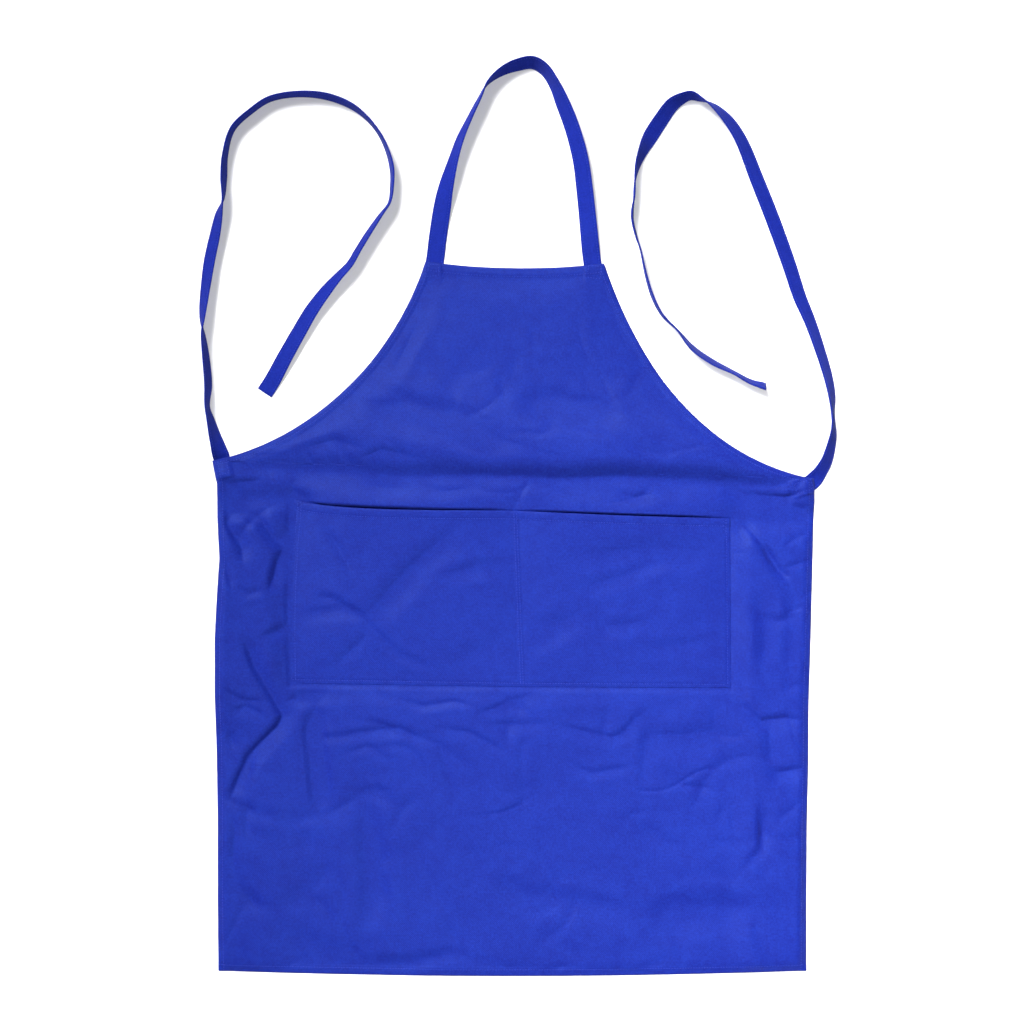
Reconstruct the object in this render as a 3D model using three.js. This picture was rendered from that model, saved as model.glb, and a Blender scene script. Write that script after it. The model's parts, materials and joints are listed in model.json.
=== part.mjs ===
// A bib apron laid out flat with its front up: one cloth body with turned hems, a patch pocket
// sewn across the lap and split by a centre seam, a neck strap and two waist ties.
// Millimetres. +X to the right, +Y towards the neck, +Z up off the surface that it lies on.

import * as THREE from 'three';

// Walls of the cloth
const LAYER = 1.2; // one layer of twill
const TURNED = 2.2; // where an edge is turned under and stitched
const STRAP_WALL = 1.8; // a strap of folded cloth, stitched flat
const SEAM_GAP = 0.3; // clearance between two pieces that are sewn together

// Sizes of the cut
const SKIRT_WIDTH = 720;
const WAIST_LEFT = 626; // height of the left waist corner above the hem
const WAIST_RIGHT = 605; // the right corner, pulled lower by the way it lies
const BIB_HEIGHT = 868; // top corners of the bib above the hem
const BIB_WIDTH = 217;
const BIB_SAG = 6.5; // dip of the bib's top edge between the strap ends
const HEM_SAG = 4.5; // bulge of the bottom edge between its corners
const SIDE_HEM = 7;
const BOTTOM_HEM = 10;
const BIB_HEM = 10;
const HEM_STEP = 1; // run over which a turned hem falls to one layer

// Straps
const NECK_WIDTH = 22;
const TIE_WIDTH = 20;
const STEPS_PER_ROW = 2; // facets between two rows of a strap's route

// Sides of the skirt: share of the way from the hem up to the waist corner, and how far each
// edge stands outside half the skirt's width
const SIDES = [
  { share: 0, left: 0, right: -2 },
  { share: 0.34, left: 0, right: -1 },
  { share: 0.53, left: 3.5, right: 0.5 },
  { share: 0.65, left: 3.5, right: 2.5 },
  { share: 0.81, left: -2.5, right: 5 },
  { share: 0.94, left: 2, right: 7 },
  { share: 1, left: 5.5, right: 6.5 },
];

// Armholes, from the bib's corner to the waist corner
const ARMHOLE_LEFT = new THREE.CubicBezierCurve(
  new THREE.Vector2(2 - BIB_WIDTH / 2, BIB_HEIGHT + 1),
  new THREE.Vector2(-146, 752),
  new THREE.Vector2(-240, 652),
  new THREE.Vector2(-SKIRT_WIDTH / 2 - SIDES.at(-1).left, WAIST_LEFT),
);
const ARMHOLE_RIGHT = new THREE.CubicBezierCurve(
  new THREE.Vector2(2 + BIB_WIDTH / 2, BIB_HEIGHT - 2),
  new THREE.Vector2(149, 757),
  new THREE.Vector2(222, 630),
  new THREE.Vector2(SKIRT_WIDTH / 2 + SIDES.at(-1).right, WAIST_RIGHT),
);

// Cells of the body's cloth: across the side zones and the middle, then up the skirt and the bib
const SIDE_ZONE = 1 / 6;
const SIDE_CELLS = 8;
const MIDDLE_CELLS = 10;
const SKIRT_ZONES = [
  { upTo: 340, cells: 16 }, // below the pocket
  { upTo: 570, cells: 11 }, // behind the pocket
  { upTo: (WAIST_LEFT + WAIST_RIGHT) / 2, cells: 6 }, // the waist fold
];
const BIB_CELLS = 16;

// Raised folds of the body: the crest's two ends, how far each flank reaches, and the height.
// "above" is the flank on the left of a walk from the first end to the second.
const FOLDS = [
  { fromX: -300, fromY: 613, toX: 225, toY: 607, above: 42, below: 30, height: 12 }, // waist
  { fromX: 215, fromY: 607, toX: 318, toY: 592, above: 26, below: 18, height: 7 },
  { fromX: 255, fromY: 579, toX: 328, toY: 581, above: 12, below: 8, height: 4 },
  { fromX: -349, fromY: 588, toX: -323, toY: 530, above: 14, below: 12, height: 5 },
  { fromX: -320, fromY: 578, toX: -298, toY: 536, above: 16, below: 14, height: 4 },
  { fromX: -317, fromY: 381, toX: -288, toY: 322, above: 14, below: 16, height: 6 },
  { fromX: -288, fromY: 322, toX: -337, toY: 249, above: 18, below: 16, height: 6 },
  { fromX: -252, fromY: 302, toX: -245, toY: 214, above: 22, below: 20, height: 6 },
  { fromX: 297, fromY: 314, toX: 318, toY: 290, above: 20, below: 18, height: 4 },
  { fromX: 306, fromY: 516, toX: 332, toY: 487, above: 16, below: 16, height: 4 },
  { fromX: 168, fromY: 80, toX: 300, toY: 85, above: 24, below: 26, height: 4 },
];
const FOLD_FADE = 26; // how far a fold runs out beyond its ends

// Places where the body lies over a sewn strap end: centre and half sizes of the lifted patch,
// and how far the cloth rides above the strap
const STRAP_SEATS = [
  { x: -98, y: 858, halfX: 24, halfY: 24, above: SEAM_GAP },
  { x: 99, y: 856, halfX: 24, halfY: 24, above: SEAM_GAP },
  { x: -350, y: 620, halfX: 30, halfY: 28, above: 2 },
  { x: 350, y: 598, halfX: 36, halfY: 28, above: 2 },
];
const SEAT_FADE = 34;

// The patch pocket: its four corners and centre seam, each with a height above the hem
const POCKET_CORNERS = {
  bottomLeft: new THREE.Vector2(-273, 356),
  bottomSeam: new THREE.Vector2(12, 351),
  bottomRight: new THREE.Vector2(266, 350),
  topLeft: new THREE.Vector2(-265, 580),
  topSeam: new THREE.Vector2(2, 565),
  topRight: new THREE.Vector2(264, 556),
};
const POCKET_SEAM = 6; // flat margin under the stitches
const MOUTH_HEM = 10;
const POCKET_CELLS = 9; // across each half, between its seams
const POCKET_ROWS = 9; // up the pocket, between the bottom seam and the mouth hem
const MOUTH_GAPE = { left: 12, right: 11 }; // how far each mouth stands open
const MOUTH_DIP = { left: 5, right: 0 }; // how far each mouth's edge slumps towards the hem

// Routes of the straps, seen from above: place, and lean about the strap's own run.
// 0 lies flat, 90 stands with the edge on the left of the run uppermost, 180 lies turned over.
const NECK_ROUTE = [
  { x: -100, y: 846, lean: 0 },
  { x: -95, y: 871, lean: 0 },
  { x: -92, y: 896, lean: 0 },
  { x: -87, y: 930, lean: -8 },
  { x: -82, y: 957, lean: -29 },
  { x: -72, y: 993, lean: -53 },
  { x: -64, y: 1017, lean: -60 },
  { x: -53, y: 1041, lean: -68 },
  { x: -41, y: 1065, lean: -74 },
  { x: -31, y: 1084, lean: -85 },
  { x: -14, y: 1098, lean: -101 },
  { x: 5, y: 1106, lean: -113 },
  { x: 24, y: 1109, lean: -116 },
  { x: 38, y: 1101, lean: -116 },
  { x: 49, y: 1085, lean: -118 },
  { x: 60, y: 1061, lean: -132 },
  { x: 72, y: 1030, lean: -139 },
  { x: 82, y: 993, lean: -146 },
  { x: 87, y: 957, lean: -153 },
  { x: 91, y: 920, lean: -158 },
  { x: 94, y: 890, lean: -168 },
  { x: 96, y: 874, lean: -180 },
  { x: 98, y: 860, lean: -180 },
  { x: 100, y: 845, lean: -180 },
];
const LEFT_TIE_ROUTE = [
  { x: -349, y: 604, lean: 0 },
  { x: -352, y: 616, lean: 0 },
  { x: -355, y: 628, lean: 0 },
  { x: -358, y: 642, lean: 36 },
  { x: -363, y: 660, lean: 59 },
  { x: -367, y: 676, lean: 74 },
  { x: -371, y: 692, lean: 86 },
  { x: -370, y: 719, lean: 76 },
  { x: -373, y: 755, lean: 79 },
  { x: -376, y: 780, lean: 91 },
  { x: -377, y: 796, lean: 114 },
  { x: -376, y: 816, lean: 129 },
  { x: -373, y: 841, lean: 137 },
  { x: -369, y: 869, lean: 143 },
  { x: -362, y: 902, lean: 140 },
  { x: -357, y: 926, lean: 126 },
  { x: -352, y: 944, lean: 98 },
  { x: -351, y: 969, lean: 81 },
  { x: -349, y: 999, lean: 85 },
  { x: -340, y: 1029, lean: 90 },
  { x: -317, y: 1051, lean: 91 },
  { x: -295, y: 1065, lean: 90 },
  { x: -258, y: 1071, lean: 87 },
  { x: -222, y: 1067, lean: 81 },
  { x: -192, y: 1054, lean: 82 },
  { x: -171, y: 1035, lean: 86 },
  { x: -156, y: 1011, lean: 81 },
  { x: -147, y: 981, lean: 74 },
  { x: -147, y: 957, lean: 75 },
  { x: -150, y: 939, lean: 90 },
  { x: -160, y: 925, lean: 90 },
  { x: -173, y: 906, lean: 95 },
  { x: -188, y: 882, lean: 96 },
  { x: -198, y: 865, lean: 99 },
  { x: -212, y: 850, lean: 107 },
  { x: -227, y: 833, lean: 121 },
  { x: -245, y: 809, lean: 132 },
  { x: -261, y: 782, lean: 140 },
  { x: -278, y: 752, lean: 146 },
  { x: -295, y: 721, lean: 164 },
  { x: -303, y: 709, lean: 172 },
];
const RIGHT_TIE_ROUTE = [
  { x: 338, y: 591, lean: 0 },
  { x: 350, y: 594, lean: 0 },
  { x: 361, y: 598, lean: 1 },
  { x: 367, y: 603, lean: 4 },
  { x: 373, y: 611, lean: 25 },
  { x: 381, y: 625, lean: 37 },
  { x: 386, y: 642, lean: 48 },
  { x: 389, y: 659, lean: 63 },
  { x: 388, y: 672, lean: 82 },
  { x: 387, y: 686, lean: 92 },
  { x: 386, y: 706, lean: 108 },
  { x: 381, y: 731, lean: 113 },
  { x: 372, y: 761, lean: 116 },
  { x: 360, y: 796, lean: 124 },
  { x: 348, y: 825, lean: 140 },
  { x: 335, y: 865, lean: 146 },
  { x: 316, y: 918, lean: 146 },
  { x: 295, y: 971, lean: 143 },
  { x: 276, y: 1017, lean: 131 },
  { x: 259, y: 1041, lean: 127 },
  { x: 239, y: 1060, lean: 108 },
  { x: 225, y: 1067, lean: 88 },
  { x: 216, y: 1072, lean: 73 },
  { x: 204, y: 1068, lean: 58 },
  { x: 193, y: 1058, lean: 34 },
  { x: 181, y: 1042, lean: 22 },
  { x: 168, y: 1022, lean: 14 },
  { x: 158, y: 1003, lean: 49 },
  { x: 151, y: 984, lean: 72 },
  { x: 148, y: 966, lean: 89 },
  { x: 147, y: 945, lean: 92 },
  { x: 145, y: 929, lean: 106 },
  { x: 145, y: 918, lean: 111 },
  { x: 149, y: 900, lean: 109 },
  { x: 155, y: 881, lean: 99 },
  { x: 161, y: 853, lean: 93 },
  { x: 169, y: 826, lean: 91 },
  { x: 181, y: 803, lean: 94 },
  { x: 200, y: 784, lean: 101 },
  { x: 218, y: 763, lean: 118 },
  { x: 242, y: 746, lean: 119 },
  { x: 268, y: 733, lean: 109 },
  { x: 288, y: 722, lean: 112 },
  { x: 307, y: 716, lean: 117 },
];

const TWILL = { color: 0x2e42c4, roughness: 0.9, metalness: 0 };

// A sheet of cloth as a closed wall: place(column, row, upper) gives the point of each face
function clothWall(columns, rows, place) {
  const geometry = new THREE.BoxGeometry(1, 1, 1, columns, rows, 1);
  const corners = geometry.attributes.position;
  for (let k = 0; k < corners.count; k += 1) {
    const column = Math.round((corners.getX(k) + 0.5) * columns);
    const row = Math.round((corners.getY(k) + 0.5) * rows);
    const point = place(column, row, corners.getZ(k) > 0);
    corners.setXYZ(k, point.x, point.y, point.z);
  }
  geometry.computeVertexNormals();
  return geometry;
}

function clothPiece(name, geometry) {
  const mesh = new THREE.Mesh(geometry, new THREE.MeshStandardMaterial(TWILL));
  mesh.name = name;
  return mesh;
}

// A smooth hump: 1 at the middle, level and 0 from the reach outwards
function hump(distance, reach) {
  const inside = Math.max(0, 1 - (distance / reach) ** 2);
  return inside * inside;
}

function foldHeight(x, y, fold) {
  const runX = fold.toX - fold.fromX;
  const runY = fold.toY - fold.fromY;
  const length = Math.hypot(runX, runY);
  const along = ((x - fold.fromX) * runX + (y - fold.fromY) * runY) / length;
  const aside = ((y - fold.fromY) * runX - (x - fold.fromX) * runY) / length;
  const beyond = Math.max(-along, along - length, 0);
  const flank = aside > 0 ? fold.above : fold.below;
  return fold.height * hump(aside, flank) * hump(beyond, FOLD_FADE);
}

function seatHeight(x, y, seat) {
  const outside = Math.max(Math.abs(x - seat.x) - seat.halfX, Math.abs(y - seat.y) - seat.halfY, 0);
  return (STRAP_WALL + seat.above) * hump(outside, SEAT_FADE);
}

// Height of the body's underside over the surface
function bodyLift(x, y) {
  const folds = FOLDS.map((fold) => foldHeight(x, y, fold));
  const seats = STRAP_SEATS.map((seat) => seatHeight(x, y, seat));
  return Math.max(...folds, ...seats);
}

// Edge of the skirt at a share of the way up, as a smooth line through the table of sides
function skirtEdge(side, sign, share, top) {
  const points = SIDES.map((row) => new THREE.Vector2(row.share, row[side]));
  const upper = Math.max(1, points.findIndex((point) => point.x >= share));
  const from = points[upper - 1];
  const to = points[upper];
  const wander = THREE.MathUtils.lerp(from.y, to.y, THREE.MathUtils.smoothstep(share, from.x, to.x));
  return new THREE.Vector2(sign * (SKIRT_WIDTH / 2 + wander), THREE.MathUtils.lerp(HEM_SAG, top, share));
}

// Rows of the body from hem to bib: both edge points, the dip between them, the run that a side
// hem takes along the row, and whether the row itself is on a turned hem
function bodyRows() {
  const waist = (WAIST_LEFT + WAIST_RIGHT) / 2;
  const heights = [0, BOTTOM_HEM, BOTTOM_HEM + HEM_STEP];
  for (const zone of SKIRT_ZONES) {
    const start = heights.at(-1);
    for (let k = 1; k <= zone.cells; k += 1) {
      heights.push(start + ((zone.upTo - start) * k) / zone.cells);
    }
  }
  const skirt = heights.map((height) => ({
    left: skirtEdge('left', -1, height / waist, WAIST_LEFT),
    right: skirtEdge('right', 1, height / waist, WAIST_RIGHT),
    dip: HEM_SAG * (1 - height / waist),
    hemLeft: SIDE_HEM,
    hemRight: SIDE_HEM,
    turned: height <= BOTTOM_HEM,
  }));
  const length = ARMHOLE_LEFT.getLength();
  const shares = [];
  for (let k = 1; k <= BIB_CELLS; k += 1) {
    shares.push((k / BIB_CELLS) * (1 - (BIB_HEM + HEM_STEP) / length));
  }
  shares.push(1 - BIB_HEM / length, 1);
  const bib = shares.map((share) => ({
    left: ARMHOLE_LEFT.getPoint(1 - share),
    right: ARMHOLE_RIGHT.getPoint(1 - share),
    dip: BIB_SAG * share,
    hemLeft: SIDE_HEM / Math.abs(ARMHOLE_LEFT.getTangent(1 - share).y),
    hemRight: SIDE_HEM / Math.abs(ARMHOLE_RIGHT.getTangent(1 - share).y),
    turned: share >= 1 - BIB_HEM / length,
  }));
  return [...skirt, ...bib];
}

// Shares across a row: two lines for each side hem, then the side zones and the middle
function bodyColumns(row) {
  const width = row.right.x - row.left.x;
  const from = (row.hemLeft + HEM_STEP) / width;
  const to = 1 - (row.hemRight + HEM_STEP) / width;
  const shares = [0, row.hemLeft / width];
  const inner = [];
  for (let k = 0; k <= SIDE_CELLS; k += 1) {
    inner.push((SIDE_ZONE * k) / SIDE_CELLS);
  }
  for (let k = 1; k < MIDDLE_CELLS; k += 1) {
    inner.push(SIDE_ZONE + ((1 - 2 * SIDE_ZONE) * k) / MIDDLE_CELLS);
  }
  for (let k = SIDE_CELLS; k >= 0; k -= 1) {
    inner.push(1 - (SIDE_ZONE * k) / SIDE_CELLS);
  }
  shares.push(...inner.map((share) => THREE.MathUtils.lerp(from, to, share)));
  shares.push(1 - row.hemRight / width, 1);
  return shares;
}

function apronBody() {
  const rows = bodyRows();
  const columns = rows.map(bodyColumns);
  const lastColumn = columns[0].length - 1;
  const lastRow = rows.length - 1;
  return clothWall(lastColumn, lastRow, (column, row, upper) => {
    const line = rows[row];
    const share = columns[row][column];
    const point = line.left.clone().lerp(line.right, share);
    const y = point.y - line.dip * 4 * share * (1 - share);
    const sideHem = column <= 1 || column >= lastColumn - 1;
    const wall = sideHem || line.turned ? TURNED : LAYER;
    return new THREE.Vector3(point.x, y, bodyLift(point.x, y) + (upper ? wall : 0));
  });
}

// Lines across one half of the pocket: its two sewn margins and the cells between them
function halfPocketShares(width) {
  const margin = POCKET_SEAM / width;
  const shares = [0];
  for (let k = 0; k <= POCKET_CELLS; k += 1) {
    shares.push(margin + ((1 - 2 * margin) * k) / POCKET_CELLS);
  }
  shares.push(1);
  return shares;
}

function pocketPanel() {
  const { bottomLeft, bottomSeam, bottomRight, topLeft, topSeam, topRight } = POCKET_CORNERS;
  const halves = [
    { side: 'left', low: [bottomLeft, bottomSeam], high: [topLeft, topSeam] },
    { side: 'right', low: [bottomSeam, bottomRight], high: [topSeam, topRight] },
  ];
  const across = halves.flatMap((half, k) => {
    const shares = halfPocketShares(half.high[0].distanceTo(half.high[1]));
    return shares.slice(k).map((share) => ({ half, share, margin: shares[1] }));
  });
  const depth = topLeft.distanceTo(bottomLeft);
  const low = POCKET_SEAM / depth;
  const high = 1 - (MOUTH_HEM + HEM_STEP) / depth;
  const up = [0];
  for (let k = 0; k <= POCKET_ROWS; k += 1) {
    up.push(low + ((high - low) * k) / POCKET_ROWS);
  }
  up.push(1 - MOUTH_HEM / depth, 1);
  return clothWall(across.length - 1, up.length - 1, (column, row, upper) => {
    const { half, share, margin } = across[column];
    const rise = up[row];
    const bottom = half.low[0].clone().lerp(half.low[1], share);
    const top = half.high[0].clone().lerp(half.high[1], share);
    const loose = Math.min(1, Math.max(0, (share - margin) / (1 - 2 * margin)));
    const arch = Math.sin(Math.PI * loose) ** 0.8;
    const opened = Math.max(0, (rise - low) / (1 - low));
    const point = bottom.lerp(top, rise);
    const y = point.y - MOUTH_DIP[half.side] * arch * opened;
    const gape = MOUTH_GAPE[half.side] * arch * opened ** 0.6;
    const wall = row >= up.length - 2 ? TURNED : LAYER;
    return new THREE.Vector3(point.x, y, LAYER + SEAM_GAP + gape + (upper ? wall : 0));
  });
}

// A strap along its route: it leans about its run, with its lowest edge on the surface
function strap(route, width) {
  const path = new THREE.CatmullRomCurve3(route.map(({ x, y, lean }) => new THREE.Vector3(x, y, lean)));
  const steps = (route.length - 1) * STEPS_PER_ROW;
  return clothWall(1, steps, (column, row, upper) => {
    const share = row / steps;
    const here = path.getPoint(share);
    const run = path.getTangent(share).setZ(0).normalize();
    const lean = THREE.MathUtils.degToRad(here.z);
    const leftward = new THREE.Vector3(-run.y, run.x, 0);
    const upward = new THREE.Vector3(0, 0, 1);
    const breadth = leftward.clone().multiplyScalar(Math.cos(lean)).addScaledVector(upward, Math.sin(lean));
    const face = upward.clone().multiplyScalar(Math.cos(lean)).addScaledVector(leftward, -Math.sin(lean));
    const height = (width * Math.abs(Math.sin(lean)) + STRAP_WALL * Math.abs(Math.cos(lean))) / 2;
    return new THREE.Vector3(here.x, here.y, height)
      .addScaledVector(breadth, column === 0 ? width / 2 : -width / 2)
      .addScaledVector(face, upper ? STRAP_WALL / 2 : -STRAP_WALL / 2);
  });
}

const apron = new THREE.Group();
apron.add(
  clothPiece('apron_body', apronBody()),
  clothPiece('pocket', pocketPanel()),
  clothPiece('neck_strap', strap(NECK_ROUTE, NECK_WIDTH)),
  clothPiece('waist_tie_left', strap(LEFT_TIE_ROUTE, TIE_WIDTH)),
  clothPiece('waist_tie_right', strap(RIGHT_TIE_ROUTE, TIE_WIDTH)),
);

// The origin is on the surface, under the middle of the whole laid-out apron
const laid = new THREE.Box3().setFromObject(apron);
const middle = laid.getCenter(new THREE.Vector3());
apron.position.set(-middle.x, -middle.y, -laid.min.z);

export default apron;
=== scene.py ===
# %% [markdown]
# # A bib apron, laid flat
# This lesson dresses a bib apron of royal blue cotton twill that lies on a table with its front up.
# The apron is five pieces of cloth: a body, a patch pocket, a neck strap and two waist ties.
# All of them are soft sheets, so each one starts as a flat grid and is moved, point by point,
# into the way it lies: hems, folds, creases and twists. Stitches are laid on afterwards.

import json
import math

import bmesh
import bpy
import numpy as np
from mathutils import Matrix, Vector

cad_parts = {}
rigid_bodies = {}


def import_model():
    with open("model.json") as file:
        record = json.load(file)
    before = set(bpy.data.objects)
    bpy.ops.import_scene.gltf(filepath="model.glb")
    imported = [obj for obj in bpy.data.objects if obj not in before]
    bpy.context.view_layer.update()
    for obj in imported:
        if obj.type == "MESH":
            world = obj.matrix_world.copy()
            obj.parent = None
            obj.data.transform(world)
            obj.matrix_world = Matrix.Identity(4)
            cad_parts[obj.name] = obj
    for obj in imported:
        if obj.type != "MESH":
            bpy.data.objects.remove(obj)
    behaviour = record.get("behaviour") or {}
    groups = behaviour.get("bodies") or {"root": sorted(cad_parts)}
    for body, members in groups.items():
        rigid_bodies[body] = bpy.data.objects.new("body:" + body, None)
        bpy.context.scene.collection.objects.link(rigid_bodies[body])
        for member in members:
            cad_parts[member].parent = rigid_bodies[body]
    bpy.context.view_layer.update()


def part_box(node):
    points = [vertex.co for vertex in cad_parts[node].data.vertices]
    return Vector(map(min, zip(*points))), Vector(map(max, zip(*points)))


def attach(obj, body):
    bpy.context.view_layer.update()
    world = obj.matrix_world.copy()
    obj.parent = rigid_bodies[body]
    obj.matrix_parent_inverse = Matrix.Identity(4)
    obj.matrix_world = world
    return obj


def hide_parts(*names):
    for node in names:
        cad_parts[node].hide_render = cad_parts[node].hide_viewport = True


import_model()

# %% [markdown]
# ## The cutting frame
# A dressmaker measures a garment from its hem and its centre line, in millimetres, so the tables
# below do the same: x from the centre line and y up from the hem. The shared frame has its origin
# in the middle of the whole apron instead. The pocket's corner is known in both, so it gives the
# step from one to the other.

# %% From the cutting frame to the shared frame
MM = 0.001
POCKET_LEFT_MM = -273.0
POCKET_BOTTOM_MM = 350.0

pocket_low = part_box("pocket")[0]
SHIFT_X = pocket_low.x / MM - POCKET_LEFT_MM
SHIFT_Y = pocket_low.y / MM - POCKET_BOTTOM_MM


def to_frame(x, y, z):
    """Points of the cutting frame, in millimetres, as rows of metres in the shared frame."""
    return np.stack([(x + SHIFT_X) * MM, (y + SHIFT_Y) * MM, z * MM], axis=-1)


print("shift of the cutting frame, mm:", round(SHIFT_X, 2), round(SHIFT_Y, 2))

# %% [markdown]
# ## Small tools for cloth
# Cloth that lies on a table never has one regular wave. It has a few long folds, sharp creases
# with one steep side, and a faint unevenness all over. The tools here give those three: a smooth
# step, a field of creases drawn along polylines, and a soft noise made from a lattice of seeded
# random heights. They work on whole arrays at once, which is far quicker than point by point. The
# last four tools are for lines: a turn, unit lengths, and places at given lengths along a polyline.


# %% Steps, bells and soft noise
def smooth_step(low, high, value):
    t = np.clip((value - low) / (high - low), 0.0, 1.0)
    return t * t * (3.0 - 2.0 * t)


def bell(distance, spread):
    return np.exp(-((distance / spread) ** 2))


LATTICE = 64


def soft_noise(x, y, wave, seed):
    """Smooth unevenness from -1 to 1 with bumps about one wave apart, in millimetres."""
    heights = np.random.RandomState(seed).uniform(-1.0, 1.0, (LATTICE, LATTICE))
    gx, gy = x / wave + 500.0, y / wave + 500.0
    ix, iy = np.floor(gx).astype(int), np.floor(gy).astype(int)
    fx, fy = gx - ix, gy - iy
    fx, fy = fx * fx * (3.0 - 2.0 * fx), fy * fy * (3.0 - 2.0 * fy)
    x0, x1, y0, y1 = ix % LATTICE, (ix + 1) % LATTICE, iy % LATTICE, (iy + 1) % LATTICE
    low = heights[y0, x0] * (1.0 - fx) + heights[y0, x1] * fx
    high = heights[y1, x0] * (1.0 - fx) + heights[y1, x1] * fx
    return low * (1.0 - fy) + high * fy


def unevenness(x, y, table):
    """Sum of soft noises; each row of the table is a height, a wave length and a seed."""
    return sum(height * soft_noise(x, y, wave, seed) for height, wave, seed in table)


# %% Turns, unit lengths and places along a line
def cos_sin(degrees):
    return math.cos(math.radians(degrees)), math.sin(math.radians(degrees))


def unit(rows):
    return rows / np.linalg.norm(rows, axis=1)[:, None]


def lengths_along(points):
    """How far along a polyline each of its points lies."""
    return np.concatenate([[0.0], np.cumsum(np.linalg.norm(np.diff(points, axis=0), axis=1))])


def read_at(at, lengths, rows):
    """The rows' values at given lengths along a line."""
    return np.stack([np.interp(at, lengths, column) for column in rows.T], 1)


# %% [markdown]
# A crease is a line that the cloth dips to, with a depth and two flanks. Walking along its points,
# one flank rises on the left and the other on the right, each over its own width. A sharp crease has
# a pointed bottom, as cotton has where it was folded in a packet; a soft one is a shallow trough.
# Each flank has its own sharpness, and both ends run out to almost nothing.


# %% Depths of a table of creases
POINT_SHARE, POINT_NARROWER = 0.28, 3.5  # the narrow inner point of a sharp crease
END_DEPTH = 0.12


def crease_depths(x, y, table):
    """Sum of the creases in a table, at every point of x and y, in millimetres."""
    total = np.zeros_like(x)
    for crease in table:
        line = np.array(crease["line"], float)
        nearest = np.full_like(x, 1e9)
        side = np.zeros_like(x)
        along = np.zeros_like(x)
        walked = 0.0
        for (ax, ay), (bx, by) in zip(line[:-1], line[1:]):
            run = math.hypot(bx - ax, by - ay)
            ux, uy = (bx - ax) / run, (by - ay) / run
            s = np.clip((x - ax) * ux + (y - ay) * uy, 0.0, run)
            dx, dy = x - ax - s * ux, y - ay - s * uy
            distance = np.hypot(dx, dy)
            closer = distance < nearest
            nearest = np.where(closer, distance, nearest)
            side = np.where(closer, ux * dy - uy * dx, side)
            along = np.where(closer, walked + s, along)
            walked += run
        width = np.where(side >= 0.0, crease["left"], crease["right"])
        t = np.clip(nearest / width, 0.0, 1.0)
        point = np.clip(1.0 - POINT_NARROWER * t, 0.0, 1.0) ** 2
        sharp = (1.0 - POINT_SHARE) * (1.0 - t) ** 2 + POINT_SHARE * point
        soft = (1.0 - t * t) ** 2
        left_sharp, right_sharp = np.broadcast_to(crease["sharp"], 2)
        pointed = np.where(side >= 0.0, left_sharp, right_sharp)
        crest = pointed * sharp + (1.0 - pointed) * soft
        fade = crease["fade"] * walked
        ends = smooth_step(0.0, fade, along) * smooth_step(0.0, fade, walked - along)
        total += crease["depth"] * crest * (END_DEPTH + (1.0 - END_DEPTH) * ends)
    return total


def crease(depth, left, right, sharp, *line, fade=0.35):
    """One row of a crease table; sharp is from 0 to 1, one for each flank."""
    return {"depth": depth, "left": left, "right": right, "sharp": sharp, "line": line, "fade": fade}


# %% [markdown]
# ## The body of the apron
# Bib and skirt are cut from one piece of twill. Its edges are turned under twice and stitched, so
# every edge is a firm flat band. The outline is drawn with a few rows: the skirt's sides, which
# wander by some millimetres, and one curve for each armhole.

# %% Outline of the body
SKIRT_HALF = 360.0
WAIST_LEFT, WAIST_RIGHT = 626.0, 604.5
HEM_BULGE = 4.5
BIB_DIP = 6.5
SIDE_HEM, BOTTOM_HEM, BIB_HEM, ARM_HEM = 8.5, 10.0, 12.0, 7.5

# share of the way up the skirt, and how far the left and right edges stand outside the half width
SIDE_WANDER = np.array(
    [
        (0.00, -0.8, -2.4),
        (0.14, 0.0, -2.4),
        (0.30, 0.0, -1.8),
        (0.42, 1.2, 0.0),
        (0.54, 3.6, 0.3),
        (0.65, 3.6, 2.4),
        (0.73, 1.2, 3.6),
        (0.81, -2.0, 4.9),
        (0.89, 0.5, 6.0),
        (0.955, 0.6, 7.3),
        (1.00, 6.0, 6.3),
    ]
)
ARMHOLE_LEFT = np.array([(-106.5, 869.0), (-146.0, 752.0), (-240.0, 652.0), (-366.0, WAIST_LEFT)])
ARMHOLE_RIGHT = np.array([(111.0, 866.5), (149.0, 757.0), (222.0, 630.0), (366.3, WAIST_RIGHT)])


def bezier(points, t):
    """Points and directions along a cubic curve with four control points."""
    t = np.asarray(t)[:, None]
    a, b, c, d = points
    place = (1 - t) ** 3 * a + 3 * (1 - t) ** 2 * t * b + 3 * (1 - t) * t**2 * c + t**3 * d
    run = 3 * (1 - t) ** 2 * (b - a) + 6 * (1 - t) * t * (c - b) + 3 * t**2 * (d - c)
    return place, unit(run)


# %% [markdown]
# The grid needs more lines near an edge than in the middle, because a hem rounds off and dips at
# its stitches within a few millimetres. These are the lines of a hem, counted from the edge.

# %% Lines of the body's grid
HEM_LINES = np.array([0.0, 0.7, 2.0, 4.0, 6.0, 7.2, 8.4, 9.8, 11.2, 13.0])
BIB_ROWS = 80
ARM_LENGTH = 372.0
FAR = 999.0  # stands for a hem that a row is nowhere near


def graded(*stations):
    """Steps from station to station; each later station is (value, number of steps to it)."""
    steps = [np.array([stations[0]], float)]
    for value, count in stations[1:]:
        steps.append(np.linspace(steps[-1][-1], value, count + 1)[1:])
    return np.concatenate(steps)


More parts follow.
